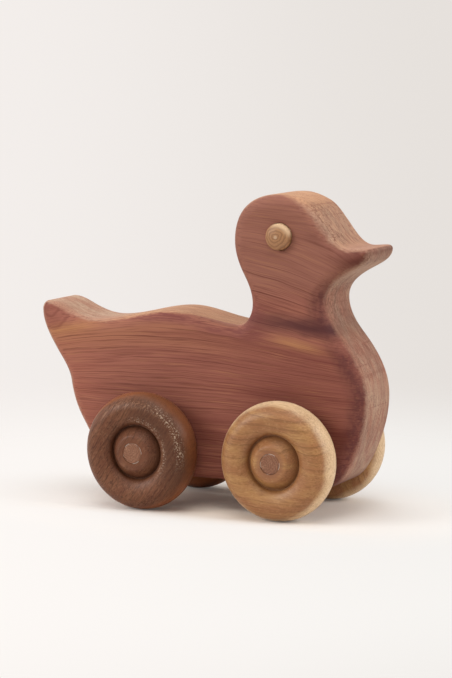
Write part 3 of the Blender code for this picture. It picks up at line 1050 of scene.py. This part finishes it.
def wheel_profile():
    """Section of a wheel, outer face towards +Y: flat back, full-round rim, groove and flared boss."""
    bore = AXLE_RADIUS + GLUE_GAP
    boss_flat = bore + BOSS_WALL
    boss_foot = boss_flat + BOSS_FLARE
    groove_edge = boss_foot + GROOVE_WIDTH
    rim_crest = (groove_edge + WHEEL_RADIUS) / 2
    half_width = WHEEL_WIDTH / 2
    groove_floor = half_width - GROOVE_DEPTH
    boss_end = half_width + BOSS_PROUD
    rim_radii = (WHEEL_RADIUS - rim_crest, half_width)
    slope_radii = (rim_crest - groove_edge, GROOVE_DEPTH)
    shoulder = (boss_flat, boss_end - BOSS_SHOULDER)
    profile = [(bore, -half_width)]
    profile += arc_points((rim_crest, 0.0), rim_radii, -math.pi / 2, math.pi / 2)
    profile += arc_points((rim_crest, groove_floor), slope_radii, math.pi / 2, math.pi)[1:]
    profile += [(boss_foot, groove_floor)]
    profile += arc_points(shoulder, (BOSS_SHOULDER, BOSS_SHOULDER), BOSS_SHOULDER_START, math.pi / 2)
    profile += [(bore, boss_end)]
    return profile


WHEEL_SECTION = wheel_profile()
print("the section of a wheel has", len(WHEEL_SECTION), "points")

# %% Turn the wheels
WHEEL_SIDES = 120


def face_outwards(piece, side):
    """Turn a piece that was made for the left side to the right."""
    if side == "right":
        piece.rotation_euler.z = math.pi


for end, slot in (("front", "maple"), ("rear", "walnut")):
    for side in ("right", "left"):
        node = f"{end}_{side}_wheel"
        low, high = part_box(node)
        wheel = mesh_object(f"{slot}_{side}_wheel", turned_shape(WHEEL_SECTION, WHEEL_SIDES, closed=True))
        place = AXLE_PLACES[f"{end}_wheelset"]
        along = low.y + WHEEL_WIDTH / 2 if side == "left" else high.y - WHEEL_WIDTH / 2
        wheel.location = (place.x, along, place.z)
        face_outwards(wheel, side)
        dress(wheel, WHEEL_FINISHES[f"{end}_{side}"], f"{end}_wheelset", node)

# %% [markdown]
# ## Rod woods
# Axles and eyes are cut from straight-grained birch rod, so their ends show growth rings and their sides
# show fine lines. A picture of rings would need fitting to each end. Distance from a pith that lies off the
# rod's middle gives the same rings, and they run on down the sides. Glue shows as a broken white line round
# each axle's end.

# %% Grow the birch of the eyes
BIRCH_EARLY = rgb(0.375, 0.192, 0.090)
BIRCH_LATE = rgb(0.160, 0.069, 0.030)
BIRCH_HEART = rgb(0.600, 0.470, 0.340)
BIRCH_RIM_CREAM = rgb(0.640, 0.450, 0.275)
BIRCH_SPACING = 1.7
BIRCH_PITH = -0.2
BIRCH_GLOSS = 0.35


def rod_wood(name, early, late, spacing, off_centre, rod_turn=0.0):
    """Rod with its grain along Y: growth rings on the ends, fine lines on the sides."""
    wood = SurfaceRecipe(name)
    vector = wood.turned(wood.place_mm(), "Y", -math.radians(rod_turn))
    x, _, z = wood.split(vector)
    from_pith = wood.length(wood.point(wood.total(x, off_centre), 0.0, z))
    strayed = wood.total(from_pith, wood.wander(vector, (6, 30, 5), 4.0))
    ring = wood.calc("DIVIDE", strayed, spacing)
    part = wood.calc("FRACT", ring)
    line = wood.product(wood.ramp(part, 0.3, 0.85), wood.ramp(part, 1.0, 0.9))
    fibre = wood.noise(vector, (0.5, 14, 0.5), 3.0, 0.6)
    colour = wood.blend(wood.product(line, 0.55), early, late)
    colour = wood.blend(wood.ramp(fibre, 0.4, 0.8, 0.0, 0.35), colour, late)
    rough = wood.ramp(fibre, 0.2, 0.8, 0.4, 0.56)
    return wood, vector, colour, rough, [(0.2, fibre), (0.15, line)]


def birch():
    """The eye pegs' pale wood: dry and whitish at its heart, and cream towards the top and one side of the
    rim.
    """
    wood, vector, colour, rough, heights = rod_wood(
        "birch", BIRCH_EARLY, BIRCH_LATE, BIRCH_SPACING, BIRCH_PITH)
    x, _, z = wood.split(vector)
    heart = wood.ramp(wood.length(wood.point(wood.total(x, BIRCH_PITH), 0.0, z)), 1.2, 0.3)
    colour = wood.blend(wood.product(heart, 0.5), colour, BIRCH_HEART)
    outer = wood.ramp(wood.length(wood.point(x, 0.0, z)), 3.4, 5.8)
    # Cream towards the rim, strongest on the top and one side.
    rim_side = wood.ramp(wood.total(wood.product(x, -0.42), wood.product(z, 0.9)), 1.6, 5.4)
    colour = wood.blend(wood.product(outer, rim_side, 0.85), colour, BIRCH_RIM_CREAM)
    return wood.finish(colour, rough, BIRCH_GLOSS, heights)


BIRCH = birch()
print("birch has", len(BIRCH.node_tree.nodes), "nodes")

# %% Grow the dowels of the axles
FILM_START = 4.66
FILM_END = 4.86
GLUE_WHITE = rgb(0.620, 0.560, 0.500)
DOWEL_EARLY = rgb(0.228, 0.098, 0.054)
DOWEL_LATE = rgb(0.090, 0.034, 0.018)
DOWEL_SPECK = rgb(0.380, 0.230, 0.140)
DOWEL_SPACING = 1.2
DOWEL_PITH = 3.0
DOWEL_GLOSS = 0.3


def dowel(end, rod_turn):
    """An axle's wood, with the film of glue that shows round each end as a broken white line."""
    wood, vector, colour, rough, heights = rod_wood(
        f"{end}_dowel", DOWEL_EARLY, DOWEL_LATE, DOWEL_SPACING, DOWEL_PITH, rod_turn)
    x, _, z = wood.split(vector)
    speck = wood.noise(vector, (0.7, 3.0, 0.7), 1.0)
    colour = wood.blend(wood.ramp(speck, 0.52, 0.68, 0.0, 0.35), colour, DOWEL_SPECK)
    film = wood.ramp(wood.length(wood.point(x, 0.0, z)), FILM_START, FILM_END)
    film = wood.product(film, wood.ramp(wood.noise(vector, (3.5, 3.5, 3.5), 1.0), 0.48, 0.6))
    colour = wood.blend(wood.product(film, 0.85), colour, GLUE_WHITE)
    return wood.finish(colour, rough, DOWEL_GLOSS, heights)


# The last number turns the rings, in degrees.
DOWELS = {"front": dowel("front", -4), "rear": dowel("rear", 55)}
print("each dowel has", len(DOWELS["front"].node_tree.nodes), "nodes")

# %% [markdown]
# ## Axles
# Each axle is a length of dowel with its ends chamfered, and near each end a thin film of glue shows in the
# gap between dowel and wheel. The film could be a ring of its own, but it never leaves the dowel, so it is
# part of the same spun section.

# %% Make the axles
AXLE_CHAMFER = 0.4 * MM
FILM_THICKNESS = 0.27 * MM
FILM_BELOW = 0.45 * MM
FILM_LENGTH = 1.5 * MM
ROD_SIDES = 72


def axle_profile():
    """Section of a dowel from end to end, with the glue film just below each chamfer."""
    waist = AXLE_END - AXLE_CHAMFER
    flat = AXLE_RADIUS - AXLE_CHAMFER
    film_top = AXLE_END - FILM_BELOW
    film_foot = film_top - FILM_LENGTH
    film = AXLE_RADIUS + FILM_THICKNESS
    half = [
        (AXLE_RADIUS, film_foot),
        (film, film_foot),
        (film, film_top),
        (AXLE_RADIUS, waist),
        (flat, AXLE_END),
        (0.0, AXLE_END),
    ]
    return [(radius, -along) for radius, along in reversed(half)] + half


for end in ("front", "rear"):
    axle = mesh_object(f"{end}_dowel", turned_shape(axle_profile(), ROD_SIDES))
    axle.location = AXLE_PLACES[f"{end}_wheelset"]
    dress(axle, DOWELS[end], f"{end}_wheelset", f"{end}_axle")

# %% [markdown]
# ## Eyes
# Each eye is a half-inch peg, glued into a blind hole so that its domed end stands a little proud. A
# flattened ball would lose the straight side that shows under the dome, so the peg is a spun section too: a
# flat foot, a straight side and a low elliptical dome.

# %% Make the eye pegs
EYE_DOME = 2.6 * MM


def eye_profile():
    """Section of a peg from its foot in the hole to the top of its dome, measured from the board's side."""
    proud = EYE_HIGH.y - HALF_BOARD
    dome = arc_points((0.0, proud - EYE_DOME), (EYE_RADIUS, EYE_DOME), 0.0, math.pi / 2)
    depth = EYE_LOW.y - HALF_BOARD
    return [(0.0, depth), (EYE_RADIUS, depth), *dome]


for side, sign in (("right", -1), ("left", 1)):
    peg = mesh_object(f"{side}_eye", turned_shape(eye_profile(), ROD_SIDES))
    peg.location = (EYE_PLACE.x, sign * HALF_BOARD, EYE_PLACE.z)
    face_outwards(peg, side)
    dress(peg, BIRCH, "duck", f"{side}_eye_peg")

# %% [markdown]
# ## The floor
# The photograph was taken on white paper under soft studio light, with no line between floor and wall. A
# bent sheet would hide the toy from behind. A flat disc of paper fades out round about the toy instead, and
# the pale backdrop belongs to the world, so the toy can be looked at from every side. The paper still
# catches the shadows near the wheels.

# %% Make the paper
FADE_START = 170.0
FADE_END = 520.0
FADE_FORWARD = 60.0
PAPER_LIGHT = rgb(0.860, 0.830, 0.800)
PAPER_DARK = rgb(0.835, 0.805, 0.775)
# Warm painted bounce light on the paper close to the toy.
PAPER_WARM_BOUNCE = rgb(0.900, 0.805, 0.700)
PAPER_ROUGHNESS = 0.8
PAPER_GLOSS = 0.2
BOUNCE_START = 58.0
BOUNCE_END = 20.0
GLOW_LEFT = rgb(0.965, 0.930, 0.905)
GLOW_RIGHT = rgb(0.900, 0.885, 0.863)
GLOW_SPAN = 130.0
GLOW_NEAR = 30.0
GLOW_FAR = 105.0
GLOW_FRONT = -34.0
GLOW_CLEAR = -54.0
GLOW_LEAST = 0.04
GLOW_AROUND = 0.88
GLOW_AHEAD = 0.75
AXLES_MIDDLE = 12.0
FOOTPRINT_SQUEEZE = 0.65


def lit_paper(sheet, vector, from_toy):
    """Matt paper, with painted warm bounce light from the wood close to the toy."""
    grain = sheet.noise(vector, (0.5, 0.5, 0.5))
    colour = sheet.blend(sheet.noise(vector, (300, 300, 300), 1.0), PAPER_LIGHT, PAPER_DARK)
    # Painted bounce light: the paper turns warmer close to the toy.
    colour = sheet.blend(sheet.ramp(from_toy, BOUNCE_START, BOUNCE_END), colour, PAPER_WARM_BOUNCE)
    sheet.finish(colour, PAPER_ROUGHNESS, PAPER_GLOSS, [(0.05, grain)])
    return sheet.tree.nodes["Principled BSDF"].outputs[0]


def backdrop_on_paper(sheet, x, across, from_toy):
    """How far the camera sees plain backdrop in place of paper, and that backdrop's glow."""
    shade = sheet.blend(sheet.ramp(x, -GLOW_SPAN, GLOW_SPAN), GLOW_LEFT, GLOW_RIGHT)
    glow = sheet.node("Emission", {"Color": shade, "Strength": 1.0}).outputs[0]
    around = sheet.ramp(from_toy, GLOW_NEAR, GLOW_FAR, GLOW_LEAST, GLOW_AROUND)
    in_front = sheet.ramp(across, GLOW_FRONT, GLOW_CLEAR, GLOW_LEAST, GLOW_AHEAD)
    away = sheet.calc("MAXIMUM", around, in_front)
    shown = sheet.product(sheet.node("LightPath", {}).outputs["Is Camera Ray"], away)
    return shown, glow


def paper():
    """Paper that passes softly into the backdrop round about the toy, and then fades out."""
    sheet = SurfaceRecipe("paper")
    vector = sheet.place_mm()
    x, y, _ = sheet.split(vector)
    lengthwise, across, _ = sheet.split(sheet.turned(vector, "Z", VIEW_AZIMUTH))
    lengthwise = sheet.product(sheet.total(lengthwise, -AXLES_MIDDLE), FOOTPRINT_SQUEEZE)
    from_toy = sheet.length(sheet.point(lengthwise, across, 0.0))
    solid = lit_paper(sheet, vector, from_toy)
    shown, glow = backdrop_on_paper(sheet, x, across, from_toy)
    lit = sheet.node("MixShader", {0: shown, 1: solid, 2: glow}).outputs[0]
    clear = sheet.node("BsdfTransparent", {}).outputs[0]
    distance = sheet.length(sheet.point(x, sheet.total(y, FADE_FORWARD), 0.0))
    faded = sheet.ramp(distance, FADE_START, FADE_END)
    mixed = sheet.node("MixShader", {0: faded, 1: lit, 2: clear}).outputs[0]
    sheet.fill(sheet.tree.nodes["Material Output"].inputs["Surface"], mixed)
    return sheet.owner


PAPER = paper()
print("paper has", len(PAPER.node_tree.nodes), "nodes")

# %% Lay the floor
FLOOR_RADIUS = 0.75
FLOOR_SIDES = 96
disc = bmesh.new()
bmesh.ops.create_circle(disc, cap_ends=True, radius=FLOOR_RADIUS, segments=FLOOR_SIDES)
floor = mesh_object("floor", disc)
floor.rotation_euler.z = VIEW_AZIMUTH
floor.data.materials.append(PAPER)
floor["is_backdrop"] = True
print("the floor is", 2 * FLOOR_RADIUS, "m across")

# %% [markdown]
# ## Lamps
# Soft shadows on both sides of the wheels and broad dull gleams on the wood come from large soft boxes. One
# sun lamp would give a single hard shadow, so five round area lamps stand about the toy. Each lamp's power
# follows from its distance, so the levels can be compared, and a colour shows about as it is written.

# %% Hang the lamps
AIM = Vector((0.0, 0.0, 0.07))
LAMP_WHITE = (1.0, 0.985, 0.97)
LAMP_WARM = (1.0, 0.98, 0.96)


def add_lamp(name, side, ahead, up, size, level, colour):
    """A round soft lamp. Its place is in metres from the toy: to the camera's right, away from it, and up.

    At level one, a surface that faces the lamp shows its colour as written.
    """
    turn = Matrix.Rotation(VIEW_AZIMUTH, 3, "Z")
    place = turn @ Vector((side, ahead, up))
    reach = AIM - place
    data = bpy.data.lights.new(name, "AREA")
    data.shape = "DISK"
    data.size = size
    data.energy = level * math.pi ** 2 * reach.length_squared
    data.color = colour
    lamp = bpy.data.objects.new(name, data)
    lamp.location = place
    lamp.rotation_euler = reach.to_track_quat("-Z", "Y").to_euler()
    SCENE.collection.objects.link(lamp)
    print(name, "has", round(data.energy, 1), "W")


add_lamp("left_softbox", side=-1.3, ahead=-0.4, up=0.7, size=0.8, level=0.57, colour=LAMP_WHITE)
add_lamp("front_softbox", side=-0.1, ahead=-1.0, up=1.15, size=0.9, level=0.18, colour=LAMP_WHITE)
add_lamp("right_softbox", side=1.25, ahead=-0.53, up=0.85, size=0.8, level=0.54, colour=LAMP_WHITE)
add_lamp("top_softbox", side=0.0, ahead=-0.25, up=1.6, size=1.2, level=0.36, colour=LAMP_WARM)
add_lamp("back_softbox", side=-0.4, ahead=0.9, up=1.0, size=1.2, level=0.22, colour=LAMP_WARM)

# %% [markdown]
# ## Room light and backdrop
# In a white studio, light also comes back from walls and ceiling, so the shaded sides stay open. The world
# gives that light, a little warm. What the camera and reflections see of the world is the pale backdrop,
# which gets slightly darker to the right. Walls of geometry would stand in the way of the other views.

# %% Light the room and show the backdrop
ROOM_LEVEL = 0.28
ROOM_TINT = rgb(1.0, 0.885, 0.770)
BACKDROP_LEFT = rgb(0.900, 0.858, 0.832)
BACKDROP_RIGHT = rgb(0.790, 0.750, 0.715)
BACKDROP_SPAN = 0.11


def studio():
    """Soft light from all round, with the pale backdrop for what the camera and reflections see."""
    world = Recipe(bpy.data.worlds.new("studio"))
    room = world.tree.nodes["Background"]
    room.inputs["Color"].default_value = ROOM_TINT
    room.inputs["Strength"].default_value = ROOM_LEVEL
    towards = world.node("TexCoord", {}).outputs["Generated"]
    across = (math.cos(VIEW_AZIMUTH), math.sin(VIEW_AZIMUTH), 0.0)
    side = world.node("VectorMath", {0: towards, 1: across}, operation="DOT_PRODUCT").outputs[1]
    colour = world.blend(world.ramp(side, -BACKDROP_SPAN, BACKDROP_SPAN), BACKDROP_LEFT, BACKDROP_RIGHT)
    seen = world.node("Background", {"Color": colour, "Strength": 1.0}).outputs[0]
    path = world.node("LightPath", {}).outputs
    shown = world.total(path["Is Camera Ray"], path["Is Glossy Ray"], path["Is Transmission Ray"])
    mixed = world.node("MixShader", {0: shown, 1: room.outputs[0], 2: seen}).outputs[0]
    world.fill(world.tree.nodes["World Output"].inputs["Surface"], mixed)
    return world.owner


SCENE.world = studio()
print("room light at", ROOM_LEVEL, "of the plain level")

# %% [markdown]
# ## The visual box
# The dressed toy has to be as large as the solids it stands for. Comparing them by eye would miss a
# fraction of a millimetre, so the visual box is written down in millimetres.

# %% Write down the visual box
low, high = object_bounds()
print("visual box in mm:", [round(size / MM, 1) for size in high - low])
